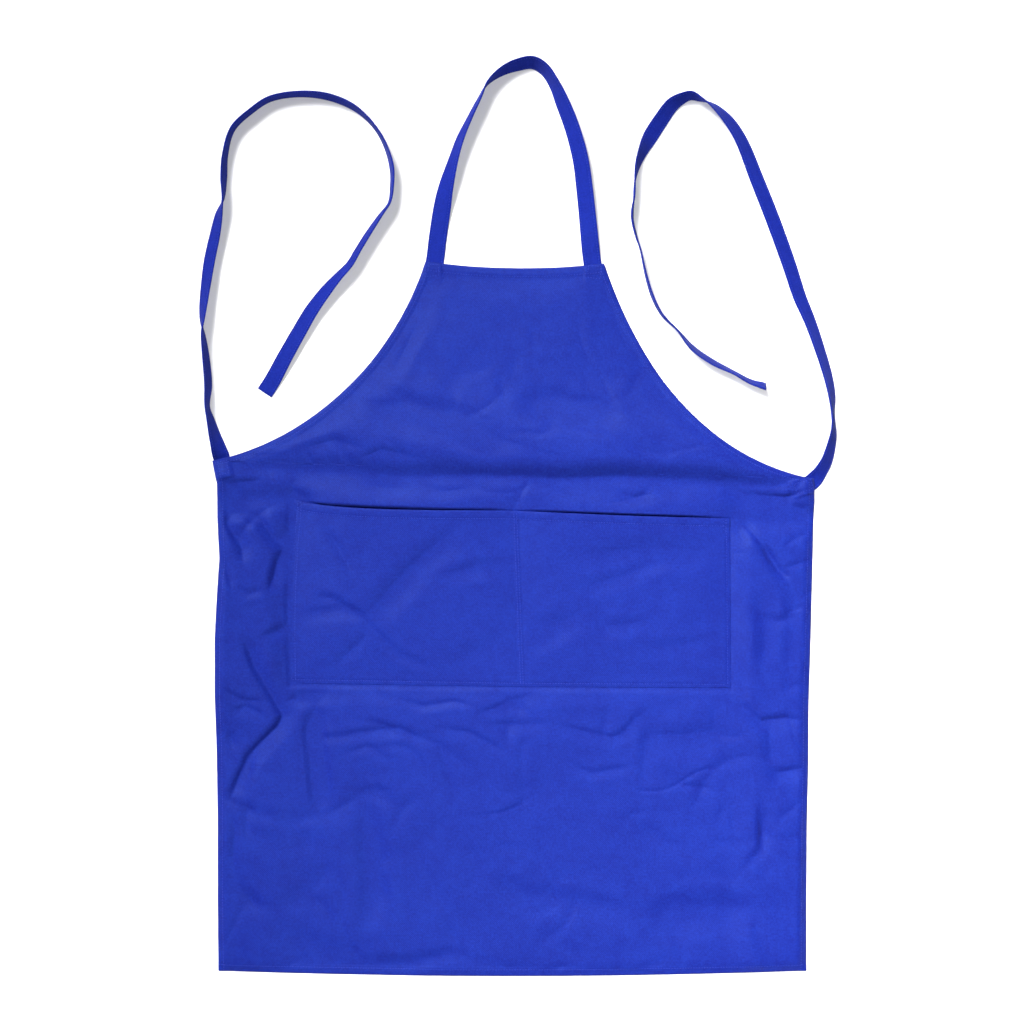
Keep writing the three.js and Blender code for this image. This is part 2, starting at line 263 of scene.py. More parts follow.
waist = (WAIST_LEFT + WAIST_RIGHT) / 2
skirt_up = np.concatenate([
    HEM_LINES,
    graded(HEM_LINES[-1], (195, 32), (352, 76), (470, 36), (552, 36), (592, 29), (waist, 19))[1:],
])
MIDDLE_COLUMNS = graded(0.0, (0.22, 74), (0.78, 120), (1.0, 60))
share = skirt_up / waist
wander = [np.interp(share, SIDE_WANDER[:, 0], SIDE_WANDER[:, k]) for k in (1, 2)]
skirt_left = np.stack([-SKIRT_HALF - wander[0], HEM_BULGE + share * (WAIST_LEFT - HEM_BULGE)], 1)
skirt_right = np.stack([SKIRT_HALF + wander[1], HEM_BULGE + share * (WAIST_RIGHT - HEM_BULGE)], 1)

top_lines = 1.0 - HEM_LINES[::-1] / ARM_LENGTH
bib_up = np.concatenate([top_lines[0] * np.linspace(0.0, 1.0, BIB_ROWS)[1:] ** 1.35, top_lines[1:]])
bib_left, run_left = bezier(ARMHOLE_LEFT, 1.0 - bib_up)
bib_right, run_right = bezier(ARMHOLE_RIGHT, 1.0 - bib_up)

row_left = np.concatenate([skirt_left, bib_left])
row_right = np.concatenate([skirt_right, bib_right])
row_dip = np.concatenate([HEM_BULGE * 1.5 * (1.0 - share) ** 2, BIB_DIP * bib_up**2])
slant_left = np.concatenate([np.ones(len(share)), np.abs(run_left[:, 1])])
slant_right = np.concatenate([np.ones(len(share)), np.abs(run_right[:, 1])])
print("body net:", len(row_left), "rows of", len(MIDDLE_COLUMNS) + 2 * len(HEM_LINES) - 2, "points")


# %% Flat layout of the body
BEND_ENDS, BEND_REACH = (300.0, 264.0), 48.0  # where the rows are bent to the pocket mouths
STEEPEST = 0.3  # least slant that a hem's lines are spread for


def body_layout():
    """x, y of every point of the net, with its distance to the sides and to the hem or bib top.

    The rows near the pocket mouths are bent to run along them, so the mouths stay crisp."""
    rows = len(row_left)
    width = (row_right - row_left)[:, 0]
    near_left = HEM_LINES[None, :] / np.maximum(slant_left, STEEPEST)[:, None]
    near_right = HEM_LINES[None, :] / np.maximum(slant_right, STEEPEST)[:, None]
    spread = MIDDLE_COLUMNS[None, 1:-1]
    inner = width[:, None] - near_left[:, -1:] - near_right[:, -1:]
    middle = near_left[:, -1:] + spread * inner
    across = np.concatenate([near_left, middle, width[:, None] - near_right[:, ::-1]], axis=1)
    s = across / width[:, None]
    x = row_left[:, :1] + s * (row_right - row_left)[:, :1]
    y = row_left[:, 1:] + s * (row_right - row_left)[:, 1:] - row_dip[:, None] * 4.0 * s * (1.0 - s)
    nearest = int(np.argmin(np.abs(y[:, x.shape[1] // 2] - TOP_SEAM[1])))
    along_mouth = smooth_step(*BEND_ENDS, np.abs(x))
    away = (mouth(x[nearest])[0] - y[nearest])[None, :] * along_mouth
    y = y + away * (1.0 - smooth_step(0.0, BEND_REACH, np.abs(y - y[nearest])))
    side = np.minimum(across * slant_left[:, None], (width[:, None] - across) * slant_right[:, None])
    bottom = np.concatenate([skirt_up, np.full(rows - len(skirt_up), FAR)])
    top = np.concatenate([np.full(len(skirt_up), FAR), (1.0 - bib_up) * ARM_LENGTH])
    armhole = np.arange(rows) >= len(skirt_up)
    return x, y, side, *(np.repeat(value[:, None], s.shape[1], 1) for value in (bottom, top, armhole))


# %% [markdown]
# ## Folds of the body
# Where the bib was pushed towards the skirt, a roll of cloth lies right across the waist. It rises
# steeply from a sharp line and falls away gently towards the neck. The other rows are creases that
# the cloth kept from being packed: a zigzag at the left, short ones below the pocket and some at
# the right edge. Each row gives depth, left flank, right flank, sharpness, then its points.

# %% Table of the body's folds
WAIST_LINE = np.array([(-372, 619), (-322, 617), (-292, 618), (-207, 613), (-143, 608), (-59, 609),
                       (6, 608), (54, 605), (133, 608), (233, 603), (308, 597), (372, 595)], float)
# x, height of the roll and the run of its steep side
WAIST_ROLL = np.array([(-352, 0.0, 16), (-312, 3.4, 26), (-262, 5.6, 40), (-200, 7.4, 46),
                       (-130, 7.8, 38), (-20, 10.0, 25), (80, 10.4, 23), (180, 10.0, 23),
                       (240, 9.0, 22), (300, 6.6, 17), (340, 2.4, 14), (360, 0.0, 12)], float)
BODY_CREASES = [
    crease(8.5, 26, 42, (0.8, 0.1), (-188, 697), (-139, 694), (-80, 680), (-28, 654), (26, 641)),
    crease(6.4, 24, 37, (0.8, 0.0), (-4, 705), (62, 694), (142, 683)),
    crease(2.3, 10, 18, (0.8, 0.2), (-262, 640), (-216, 652), (-178, 640)),
    crease(2.1, 8, 18, (0.8, 0.3), (-190, 628), (-160, 640), (-118, 632)),
    crease(2.2, 12, 18, (0.6, 0.1), (-148, 732), (-130, 767), (-116, 797)),
    crease(7.0, 9, 25, (1.0, 0.2), (252, 597), (285, 585), (333, 582), (345, 587), (360, 594)),
    crease(3.1, 8, 16, (0.8, 0.4), (338, 573), (360, 566)),
    crease(2.2, 8, 17, (0.8, 0.3), (124, 592), (146, 582), (174, 586)),
    crease(1.7, 8, 17, (0.7, 0.2), (-110, 597), (-86, 589), (-50, 593)),
    crease(1.9, 13, 20, (0.5, 0.1), (-193, 599), (-155, 594), (-118, 591)),
    crease(3.0, 8, 13, (0.8, 0.3), (-354, 609), (-339, 600), (-298, 603)),
    crease(4.2, 8, 12, (0.8, 0.5), (-355, 600), (-342, 591), (-332, 579)),
    crease(6.3, 21, 11, (0.6, 0.9), (-350, 600), (-344, 568), (-346, 548), (-330, 522), (-326, 500),
           fade=0.2),
    crease(6.5, 19, 14, (0.9, 0.6), (-336, 590), (-329, 566), (-305, 553), (-292, 533), (-264, 522),
           fade=0.2),
    crease(6.6, 40, 9, (0.1, 0.8), (-267, 596), (-268, 560), (-272, 536)),
    crease(5.7, 20, 10, (0.4, 0.9), (-276, 527), (-287, 502), (-298, 462)),
    crease(4.2, 13, 10, (0.5, 0.8), (-352, 509), (-338, 467)),
    crease(3.5, 8, 17, (0.8, 0.2), (-310, 411), (-270, 427)),
    crease(3.1, 8, 16, (0.8, 0.3), (-344, 322), (-323, 328), (-301, 317)),
    crease(7.2, 23, 11, (0.5, 1.0), (-328, 415), (-315, 378), (-298, 347), (-281, 316), (-287, 304),
           (-306, 285), (-323, 266), (-332, 246), (-347, 209), fade=0.12),
    crease(5.3, 9, 21, (0.9, 0.3), (-280, 332), (-260, 340), (-224, 344)),
    crease(11.5, 24, 14, (0.3, 0.8), (-240, 333), (-247, 296), (-243, 261), (-240, 231), (-238, 195),
           fade=0.25),
    crease(3.5, 11, 9, (0.4, 0.8), (-348, 300), (-339, 273)),
    crease(3.0, 8, 18, (0.9, 0.3), (-220, 293), (-178, 297), (-139, 302), (-116, 290), (-96, 301)),
    crease(2.4, 8, 16, (0.8, 0.4), (-182, 311), (-155, 305), (-139, 292)),
    crease(3.0, 14, 10, (0.8, 1.0), (-124, 294), (-91, 280), (-81, 252), (-68, 199)),
    crease(3.0, 9, 16, (1.0, 0.5), (-90, 302), (-52, 296), (-2, 268)),
    crease(2.8, 8, 22, (0.9, 0.3), (-52, 315), (-7, 332), (28, 345)),
    crease(2.2, 8, 18, (0.8, 0.3), (-46, 306), (50, 306)),
    crease(2.7, 8, 18, (0.9, 0.3), (42, 308), (120, 290), (134, 296), (168, 335)),
    crease(3.6, 18, 39, (0.8, 0.0), (146, 293), (202, 293), (268, 298)),
    crease(1.3, 16, 28, (0.5, 0.1), (-30, 178), (12, 205), (52, 252)),
    crease(5.7, 15, 12, (1.0, 0.7), (302, 529), (322, 494), (340, 481)),
    crease(1.6, 10, 9, (0.8, 0.6), (268, 549), (287, 521)),
    crease(4.3, 10, 19, (1.0, 0.5), (270, 338), (301, 310), (330, 314), (364, 309)),
    crease(2.9, 30, 15, (0.2, 0.6), (310, 318), (314, 250)),
    crease(3.5, 9, 19, (0.8, 0.3), (306, 253), (324, 247), (360, 255)),
    crease(3.8, 32, 18, (0.1, 0.3), (292, 470), (306, 420), (304, 366)),
    crease(2.4, 23, 13, (0.1, 0.5), (336, 470), (334, 360)),
    crease(5.9, 25, 45, (0.6, 0.0), (152, 75), (232, 83), (312, 85)),
    crease(3.5, 17, 34, (0.3, 0.1), (-42, 110), (62, 93), (172, 75)),
    crease(5.2, 10, 21, (0.8, 0.2), (-230, 19), (-178, 11), (-120, 18), (-78, 28), (-38, 23)),
    crease(6.5, 26, 23, (0.2, 0.3), (-184, 237), (-174, 167), (-170, 97), (-184, 37)),
    crease(3.1, 16, 11, (0.3, 0.7), (-326, 213), (-324, 163)),
    crease(3.1, 12, 13, (0.7, 0.4), (-328, 109), (-304, 77)),
    crease(2.9, 20, 11, (0.2, 0.6), (299, 211), (306, 137)),
    crease(2.7, 13, 21, (0.6, 0.2), (142, 187), (217, 149)),
    crease(1.7, 13, 32, (0.5, 0.1), (-338, 178), (-290, 170), (-210, 172)),
    crease(3.5, 8, 7, (1.0, 0.8), (-356, 606), (-334, 589), (-327, 560)),
    crease(3.1, 8, 11, (1.0, 0.4), (-340, 478), (-322, 466), (-300, 470)),
    crease(2.9, 8, 11, (1.0, 0.5), (-354, 352), (-327, 336), (-300, 334)),
    crease(2.9, 11, 8, (0.5, 0.9), (-352, 205), (-338, 182), (-342, 123)),
    crease(2.7, 9, 8, (0.9, 0.7), (-338, 115), (-322, 92), (-305, 64)),
    crease(2.3, 8, 10, (0.8, 0.5), (-252, 96), (-232, 86), (-214, 62)),
    crease(2.8, 8, 11, (1.0, 0.4), (-144, 338), (-110, 328), (-72, 334), (-40, 326)),
    crease(2.2, 8, 12, (0.9, 0.4), (-210, 268), (-176, 280), (-150, 262)),
    crease(3.1, 9, 8, (1.0, 0.8), (270, 566), (300, 528), (328, 487)),
    crease(2.7, 8, 13, (0.9, 0.3), (298, 440), (322, 432), (346, 438)),
    crease(2.7, 13, 8, (0.4, 0.9), (308, 214), (299, 152), (269, 120)),
    crease(2.2, 8, 13, (0.8, 0.3), (60, 262), (96, 246), (150, 256)),
    crease(2.2, 8, 12, (0.8, 0.4), (176, 262), (206, 232), (250, 226)),
]
print("creases on the body:", len(BODY_CREASES))

# %% [markdown]
# The strap ends are sewn to the back of the cloth. From the front each one shows as a small raised
# square, so the body is lifted there by the thickness of a strap.

# %% Lift over the sewn strap ends
CLOTH = 1.2
STRAP_THICK = 1.8

# centre, half width, half length and turn of each sewn strap end, and the lift over it
SEWN_ENDS = [
    (-98.5, 858.0, 10.5, 11.0, 8.0, 2.3),
    (99.0, 856.0, 10.5, 11.5, -7.0, 2.3),
    (-352.5, 617.0, 10.5, 12.0, 14.0, 3.6),
    (353.0, 595.0, 13.0, 10.0, 18.0, 3.6),
]


def sewn_lift(x, y):
    lift = np.zeros_like(x)
    for cx, cy, half_x, half_y, turn, height in SEWN_ENDS:
        c, s = cos_sin(turn)
        dx, dy = (x - cx) * c + (y - cy) * s, (y - cy) * c - (x - cx) * s
        outside = np.hypot(np.maximum(np.abs(dx) - half_x, 0.0), np.maximum(np.abs(dy) - half_y, 0.0))
        lift = np.maximum(lift, height * (1.0 - smooth_step(0.0, 4.0, outside)))
        lift = np.maximum(lift, 0.55 * height * (1.0 - smooth_step(0.0, 34.0, outside)))
    return lift


# %% [markdown]
# The pocket is sewn on top, so the body lies flat under it. Along each open mouth the body bulges a
# little and then drops into the pocket, and that drop is the dark slit that shows from above.

# %% Lines of the pocket mouths
TOP_LEFT, TOP_SEAM, TOP_RIGHT = (-266.5, 580.0), (2.5, 565.5), (264.5, 556.0)
SLUMP = (7.0, 1.0)
SLIT = (2.5, 1.6)
SEWN_LEFT, SEWN_RIGHT, SEWN_BOTTOM = -271.0, 264.0, 352.5
BOTTOM_SLANT = 0.012
LEFT_BOW, BOW_FROM, BOW_TO = 4.0, 355.0, 580.0  # the left seam bows outwards


def mouth(x):
    """For each x: height of the mouth's edge, its openness from 0 to 1, and its half (0 or 1)."""
    half = (x > TOP_SEAM[0]).astype(int)
    t_left = np.clip((x - TOP_LEFT[0]) / (TOP_SEAM[0] - TOP_LEFT[0]), 0.0, 1.0)
    t_right = np.clip((x - TOP_SEAM[0]) / (TOP_RIGHT[0] - TOP_SEAM[0]), 0.0, 1.0)
    straight = np.interp(x, *np.array([TOP_LEFT, TOP_SEAM, TOP_RIGHT]).T)
    slump = SLUMP[0] * np.sin(np.pi * t_left**0.58) + SLUMP[1] * np.sin(np.pi * t_right)
    openness = np.maximum(np.sin(np.pi * t_left**0.7), np.sin(np.pi * t_right)) ** 0.45
    return straight - slump, np.clip(openness, 0.0, 1.0), half


def under_pocket(x, y, around):
    """1 under the pocket and 0 outside it, fading over a distance around its sewn edges."""
    edge, openness, half = mouth(x)
    slit = np.where(half == 0, SLIT[0], SLIT[1]) * openness + 0.8
    left = SEWN_LEFT - LEFT_BOW * np.sin(np.pi * np.clip((y - BOW_FROM) / (BOW_TO - BOW_FROM), 0.0, 1.0))
    sides = smooth_step(left - around, left + 1.0, x)
    sides *= smooth_step(SEWN_RIGHT + 2.5 + around, SEWN_RIGHT, x)
    bottom = SEWN_BOTTOM - BOTTOM_SLANT * (x - SEWN_LEFT)
    ends = smooth_step(bottom - around, bottom + 1.0, y) * smooth_step(slit, 0.35 * slit, y - edge)
    return sides * ends


# %% [markdown]
# Now the whole front can be put together: a little loft everywhere, less of it in each crease, the
# roll along the waist, the bulge at the mouths, and nothing loose under the pocket. Between the
# creases of the table, small random folds crumple the cloth. Below the waist the left edge curls
# off the table, which draws it in a little as well.


# %% Height of the body's front
def no_lower(height, floor):
    """Keeps a height above a floor with a soft bend instead of a hard corner."""
    return floor + 0.5 * (height - floor + np.sqrt((height - floor) ** 2 + 0.5))


ROLL_FALL = 110.0  # run of the roll's gentle side
PINCH_WIDE, PINCH_FULL = 15.0, 7.0


def waist_roll(x, y):
    """The roll's height, and how far the cloth is pinched down along its line."""
    above = y - np.interp(x, WAIST_LINE[:, 0], WAIST_LINE[:, 1])
    height = np.interp(x, WAIST_ROLL[:, 0], WAIST_ROLL[:, 1])
    run = np.interp(x, WAIST_ROLL[:, 0], WAIST_ROLL[:, 2])
    bend = 5.0 + 22.0 * smooth_step(150.0, 250.0, np.abs(x))  # rounder towards the sides
    bent = 0.5 * (above + np.sqrt(above * above + bend))
    steep = 1.0 - (1.0 - np.clip(bent / run, 0.0, 1.0)) ** 2
    gentle = 0.5 + 0.5 * np.cos(np.pi * np.clip((above - run) / ROLL_FALL, 0.0, 1.0))
    pinch = np.clip(height / PINCH_FULL, 0.0, 1.0) * bell(above, PINCH_WIDE)
    return height * steep * gentle, pinch


# wave length, height, turn and seed of the small folds
CRUMPLES = [(84.0, 2.5, 62, 23), (62.0, 2.2, -28, 24), (44.0, 1.7, 100, 25), (34.0, 1.3, 20, 26)]
FOLD_WIDTH = 0.22  # how near to zero the noise has to be to make a fold
SWAY = 14.0
CURL = 11.0
DRAW_IN = 0.2  # sideways move of a curled edge for each millimetre of lift


def edge_curl(x, y):
    """How far the left edge lifts off the table below the waist, in millimetres."""
    along = smooth_step(290.0, 380.0, y) * smooth_step(680.0, 600.0, y)
    return CURL * along * np.clip((-x - 250.0) / 100.0, 0.0, 1.0) ** 1.3


def crumple(x, y):
    """Small random folds: a smooth noise has a sharp valley along each line where it passes zero.

    There are more at the sides, below the pocket and at the hem, and fewer on the bib."""
    sway_x = x + SWAY * soft_noise(x, y, 60.0, 21)
    sway_y = y + SWAY * soft_noise(x, y, 60.0, 22)
    folds = np.zeros_like(x)
    for wave, height, turn, seed in CRUMPLES:
        c, s = cos_sin(turn)
        across, along = sway_x * c + sway_y * s, 0.4 * (sway_y * c - sway_x * s)
        valley = np.minimum(np.abs(soft_noise(across, along, wave, seed)) / FOLD_WIDTH, 1.0)
        broken = smooth_step(-0.1, 0.4, soft_noise(x, y, wave, seed + 40))
        folds -= height * (1.0 - valley) ** 1.5 * broken
    crushed = smooth_step(190.0, 330.0, np.abs(x)) + bell(y - 300.0, 60.0) + 0.5 * bell(y - 20.0, 40.0)
    return folds * (0.8 + 0.2 * np.minimum(crushed, 1.0)) * (0.7 + 0.3 * smooth_step(740.0, 560.0, y))


LOFT = 4.2
BODY_UNEVEN = [(0.8, 130.0, 3), (0.85, 58.0, 4), (0.20, 13.0, 7), (0.12, 8.0, 6)]
MOUTH_BULGE = 3.0
SIDE_LOFT = 3.4


def body_front(x, y):
    """Lift of the cloth's big shapes, and its loose height on top of that, in millimetres."""
    roll, pinch = waist_roll(x, y)
    edge, openness, _ = mouth(x)
    above = y - edge
    bulge = MOUTH_BULGE * openness * (1.0 - smooth_step(5.0, 30.0, above)) * (above > -20.0)
    slanting = 0.46 * soft_noise(x + 0.5 * y, y, 24.0, 5)
    uneven = unevenness(x, y, BODY_UNEVEN) + slanting + crumple(x, y)
    sides = SIDE_LOFT * smooth_step(255.0, 295.0, np.abs(x)) * smooth_step(625.0, 590.0, y)
    loose = (LOFT + sides) * (1.0 - 0.85 * pinch) + bulge + uneven * (1.0 - 0.7 * pinch)
    loose *= 1.0 - 0.62 * under_pocket(x, y, 26.0)
    loose *= 1.0 - 0.85 * (1.0 - openness) * bell(above, 18.0)
    loose = no_lower(loose - crease_depths(x, y, BODY_CREASES), 0.3)
    covered = under_pocket(x, y, 5.0)
    lift = np.maximum(roll * (1.0 - covered), sewn_lift(x, y)) + edge_curl(x, y)
    return CLOTH + lift, loose * (1.0 - covered) + 0.2 * covered


# %% [markdown]
# A turned hem is twice as thick as the cloth. It rounds off at the very edge, dips where the
# needle went through, and puckers a little along its stitches because the thread is tight.


# %% Profile of a stitched hem
STITCH_INSET = 1.4  # from the inner edge of a hem to its stitches


def hem_profile(distance, hem, x, y):
    band = 1.0 - smooth_step(hem - 0.6, hem + 1.6, distance)
    rounding = 0.9 * (1.0 - np.clip(distance / 1.6, 0.0, 1.0)) ** 2
    groove = 0.5 * bell(distance - (hem - STITCH_INSET), 1.1)
    pucker = 0.22 * soft_noise(x, y, 8.5, 11) * bell(distance - hem + 1.0, 6.0)
    return band - rounding - groove + pucker


# %% [markdown]
# ## From a grid to a sheet
# Every sheet is made the same way. `create_grid` gives a flat net, an extrusion of all its faces
# gives it a second layer and a rim, and then each point is told its row and column and is moved to
# its place. A UV map keeps where the point lay on the flat cloth, so the weave follows the cloth.


# %% A closed sheet of cloth
def as_mesh(name, bm):
    mesh = bpy.data.meshes.new(name)
    bm.to_mesh(mesh)
    bm.free()
    return mesh


def put_in_scene(mesh):
    """A smooth-shaded object for a mesh, put in the scene."""
    mesh.polygons.foreach_set("use_smooth", np.ones(len(mesh.polygons), bool))
    mesh.update()
    piece = bpy.data.objects.new(mesh.name, mesh)
    bpy.context.collection.objects.link(piece)
    return piece


def with_places(mesh, columns, rows):
    """The mesh, with the column and row of every point of its net and whether it is on the front."""
    points = np.empty(len(mesh.vertices) * 3)
    mesh.vertices.foreach_get("co", points)
    points = points.reshape(-1, 3)
    column = np.rint((points[:, 0] + 0.5) * columns).astype(int)
    row = np.rint((points[:, 1] + 0.5) * rows).astype(int)
    return mesh, column, row, points[:, 2] > 0.5


def closed_grid(name, columns, rows):
    """A thin closed box of columns by rows cells; its points keep their place in the net."""
    bm = bmesh.new()
    bmesh.ops.create_grid(bm, x_segments=columns, y_segments=rows, size=0.5)
    flat = list(bm.faces)
    grown = bmesh.ops.extrude_face_region(bm, geom=flat, use_keep_orig=True)
    raised = [part for part in grown["geom"] if isinstance(part, bmesh.types.BMVert)]
    bmesh.ops.translate(bm, verts=raised, vec=(0.0, 0.0, 1.0))
    bmesh.ops.recalc_face_normals(bm, faces=list(bm.faces))
    return with_places(as_mesh(name, bm), columns, rows)


def finish_sheet(mesh, places, flat_xy):
    """Moves the points, lays the weave's UV map and puts the sheet in the scene."""
    mesh.vertices.foreach_set("co", places.reshape(-1))
    corner = np.empty(len(mesh.loops), int)
    mesh.loops.foreach_get("vertex_index", corner)
    weave = mesh.uv_layers.new(name="weave")
    weave.data.foreach_set("uv", (flat_xy[corner] * MM).reshape(-1))
    return put_in_scene(mesh)


def lay_sheet(net, x, y, front, back):
    """Lays out a closed net from the x and y of its points and the heights of its two faces."""
    mesh, column, row, upper = net
    flat_x, flat_y = x[row, column], y[row, column]
    z = np.where(upper, front[row, column], back[row, column])
    flat_xy = np.stack([flat_x, flat_y], 1)
    return finish_sheet(mesh, to_frame(flat_x, flat_y, z), flat_xy)


# %% [markdown]
# The body is large, so its front gets a fine net and its back, which nobody sees, a coarse one.
# Bridging the two open rims closes the sheet.


# %% A sheet with a fine front and a coarse back
def front_and_back(name, columns, rows, coarser):
    """A closed net; each point's column and row are those of the fine front."""
    bm = bmesh.new()
    bmesh.ops.create_grid(bm, x_segments=columns, y_segments=rows, size=0.5)
    bmesh.ops.translate(bm, verts=list(bm.verts), vec=(0.0, 0.0, 1.0))
    few = {"x_segments": columns // coarser, "y_segments": rows // coarser}
    made = bmesh.ops.create_grid(bm, **few, size=0.5)
    back = {face for vert in made["verts"] for face in vert.link_faces}
    bmesh.ops.reverse_faces(bm, faces=list(back))
    bmesh.ops.bridge_loops(bm, edges=[edge for edge in bm.edges if edge.is_boundary])
    bmesh.ops.recalc_face_normals(bm, faces=list(bm.faces))
    return with_places(as_mesh(name, bm), columns, rows)


# %% Make the body
BACK_COARSER = 4

x_net, y_net, side_net, bottom_net, top_net, armhole_net = body_layout()
x_net = x_net + DRAW_IN * edge_curl(x_net, y_net)
base_net, loose_net = body_front(x_net, y_net)
edge_net = np.minimum(np.minimum(side_net, bottom_net), top_net)
reach = 13.0 + 32.0 * smooth_step(625.0, 700.0, y_net)  # longer on the bib
settle = smooth_step(0.0, reach, side_net) * smooth_step(0.0, 16.0, bottom_net)
settle *= smooth_step(0.0, 55.0, top_net)
side_hem = np.where(armhole_net, ARM_HEM, SIDE_HEM)
hems = ((side_net, side_hem), (bottom_net, BOTTOM_HEM), (top_net, BIB_HEM))
hem_net = np.maximum.reduce([hem_profile(distance, hem, x_net, y_net) for distance, hem in hems])
edge_round = 0.8 * (1.0 - np.clip(edge_net / 1.4, 0.0, 1.0)) ** 2
front_net = base_net + loose_net * (0.15 + 0.85 * settle) + np.maximum(hem_net, -0.4) - edge_round
back_net = np.maximum(base_net - CLOTH - 0.15, 0.0) + 0.5 * loose_net * settle

net = front_and_back("apron_body_cloth", x_net.shape[1] - 1, x_net.shape[0] - 1, BACK_COARSER)
body = lay_sheet(net, x_net, y_net, front_net, back_net)
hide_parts("apron_body")
print("body:", len(body.data.polygons), "faces, highest point", round(float(front_net.max()), 1), "mm")

# %% [markdown]
# ## The patch pocket
# The pocket is one panel sewn on at its sides, its bottom and down a centre seam. Its two mouths
# stand open a little, and the left one slumps. Packing left a cross of creases on the left half.

# %% Shape of the pocket
BOTTOM_LEFT, BOTTOM_SEAM, BOTTOM_RIGHT = (-274.5, 355.0), (11.0, 350.5), (266.0, 349.5)
HALF_WIDE, TALL = 266.0, 224.0
HALF_COLUMNS, POCKET_ROWS = 92, 78
SEAM_LINES = np.array([0.0, 0.7, 2.0, 3.6, 4.6, 5.6, 7.0])
MOUTH_LINES = np.array([12.0, 10.4, 9.4, 8.4, 6.0, 3.0, 1.2, 0.5, 0.0])
SEAM_IN, MOUTH_HEM = 4.6, 9.0
SEW_MARGIN = 5.5
GAPE = 1.7

POCKET_CREASES = [
    crease(3.5, 13, 10, (0.7, 0.9), (-232, 549), (-208, 509), (-190, 479)),
    crease(4.1, 18, 38, (0.8, 0.0), (-178, 437), (-161, 459), (-139, 484), (-110, 512), (-68, 547),
           fade=0.2),
    crease(3.7, 12, 12, (1.0, 0.6), (-212, 453), (-186, 437), (-168, 419), (-139, 390), (-96, 372),
           fade=0.2),
    crease(3.0, 8, 19, (0.8, 0.3), (-266, 437), (-231, 445), (-201, 447), (-170, 437)),
    crease(2.8, 9, 16, (0.8, 0.4), (-244, 463), (-218, 459), (-194, 443)),
    crease(2.3, 10, 15, (0.8, 0.2), (-224, 371), (-174, 421)),
    crease(3.0, 10, 23, (0.8, 0.1), (-98, 485), (-36, 501), (14, 499), (22, 483)),
    crease(2.3, 8, 21, (0.8, 0.2), (-116, 359), (-38, 357), (-1, 375)),
    crease(3.7, 21, 34, (0.8, 0.0), (-94, 375), (-22, 402), (46, 427), (100, 449)),
    crease(2.3, 12, 22, (0.6, 0.2), (92, 453), (114, 425), (178, 433)),
    crease(3.0, 20, 35, (0.7, 0.0), (62, 513), (152, 519), (264, 517)),
    crease(2.2, 13, 22, (0.6, 0.1), (62, 467), (142, 489), (212, 525)),
    crease(1.8, 11, 21, (0.5, 0.1), (152, 397), (252, 409)),
]


# %% Flat layout of the pocket
def pocket_layout():
    """x and y, the share across the panel from 0 to 2 and across its half, and the share up."""
    hem = SEAM_LINES / HALF_WIDE
    inner = np.linspace(hem[-1], 1.0 - hem[-1], HALF_COLUMNS)
    half = np.concatenate([hem, inner[1:-1], 1.0 - hem[::-1]])
    low_rows, high_rows = SEAM_LINES / TALL, 1.0 - MOUTH_LINES / TALL
    up = np.concatenate([low_rows, np.linspace(low_rows[-1], high_rows[0], POCKET_ROWS)[1:-1], high_rows])
    across = np.concatenate([half, 1.0 + half[1:]])
    s, v = np.meshgrid(across, up)
    corners = zip((*BOTTOM_LEFT, *TOP_LEFT), (*BOTTOM_SEAM, *TOP_SEAM), (*BOTTOM_RIGHT, *TOP_RIGHT))
    low_x, low_y, high_x, high_y = (np.interp(s, (0.0, 1.0, 2.0), three) for three in corners)
    bow = LEFT_BOW * np.sin(np.pi * v) * (1.0 - np.clip(s / 0.5, 0.0, 1.0))
    slump = high_y - mouth(high_x)[0]
    x = low_x + v * (high_x - low_x) - bow
    y = low_y + v * (high_y - low_y) - slump * smooth_step(0.2, 1.0, v)
    return x, y, s, s - (s > 1.0), v


# %% Make the pocket
POCKET_UNEVEN = [(0.7, 60.0, 21), (0.5, 26.0, 22), (0.18, 13.0, 25), (0.1, 8.0, 23)]
OVER_BODY = 0.3

px, py, pocket_s, across, up = pocket_layout()
margin = SEW_MARGIN / HALF_WIDE
loose = np.clip((across - margin) / (1.0 - 2.0 * margin), 0.0, 1.0)
arch = np.sin(np.pi * loose)
opened = np.clip((up - 0.03) / 0.97, 0.0, 1.0)
gape = GAPE * arch * opened**1.6

from_side = np.minimum(pocket_s, 2.0 - pocket_s) * HALF_WIDE
from_seam = np.abs(pocket_s - 1.0) * HALF_WIDE
from_bottom, from_mouth = up * TALL, (1.0 - up) * TALL
thin_edge = np.minimum(from_side, from_bottom)
sewn = np.minimum(thin_edge, from_seam)
free = smooth_step(3.0, 32.0, sewn)
relief = 0.9 + 2.3 * smooth_step(6.0, 75.0, sewn) - crease_depths(px, py, POCKET_CREASES)
relief += unevenness(px, py, POCKET_UNEVEN)
puckers = 0.25 * soft_noise(px, py, 8.0, 24) * bell(sewn - 6.0, 6.0)
turned = 0.2 * (1.0 - smooth_step(6.0, 8.0, thin_edge))
turned += 0.8 * (1.0 - smooth_step(9.0, 11.0, from_mouth))
grooves = 0.35 * bell(sewn - SEAM_IN, 1.4) + 0.35 * bell(from_mouth - MOUTH_HEM, 1.4)
rim = 1.1 * (1.0 - np.clip(thin_edge / 8.0, 0.0, 1.0)) ** 1.3
rim = np.maximum(rim, 0.7 * (1.0 - np.clip(from_mouth / 1.3, 0.0, 1.0)) ** 2)
back = CLOTH + OVER_BODY + gape + no_lower(relief, 0.1) * free
front = back + CLOTH + turned - grooves - rim + puckers

net = closed_grid("pocket_cloth", px.shape[1] - 1, px.shape[0] - 1)
pocket = lay_sheet(net, px, py, front, back)
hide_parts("pocket")
print("pocket:", len(pocket.data.polygons), "faces, mouth", round(float(gape.max()), 1), "mm open")

